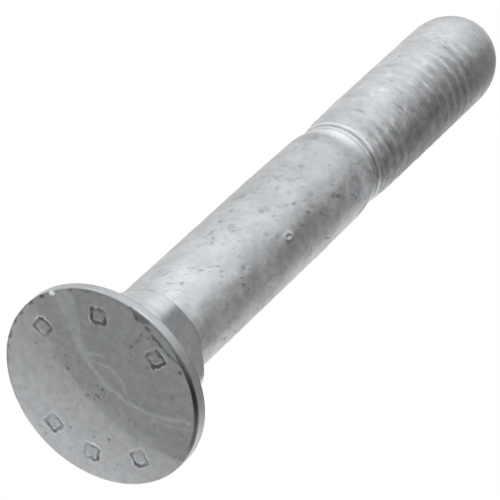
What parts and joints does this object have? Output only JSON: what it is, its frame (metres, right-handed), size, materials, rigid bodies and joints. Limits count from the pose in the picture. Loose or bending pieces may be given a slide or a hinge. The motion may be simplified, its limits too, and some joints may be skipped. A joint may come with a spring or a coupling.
{
  "type": "countersunk square-neck bolt",
  "caption": "Flat-faced countersunk bolt with a short square neck, a plain shank, a necked shoulder and a rolled thread with a rounded tip, in matt zinc.",
  "frame": {"origin": "centre of the flat face of the head, on which the bolt stands", "axes": "+Z along the shank from the head to the tip; X and Y square to the flats of the neck"},
  "size_m": [0.0242, 0.0242, 0.09],
  "materials": {
    "zinc_coated_steel": "matt silver-grey zinc coating with pits, dark specks and scuffs"
  },
  "bodies": {
    "root": {"bolt": "zinc_coated_steel"}
  },
  "joints": []
}
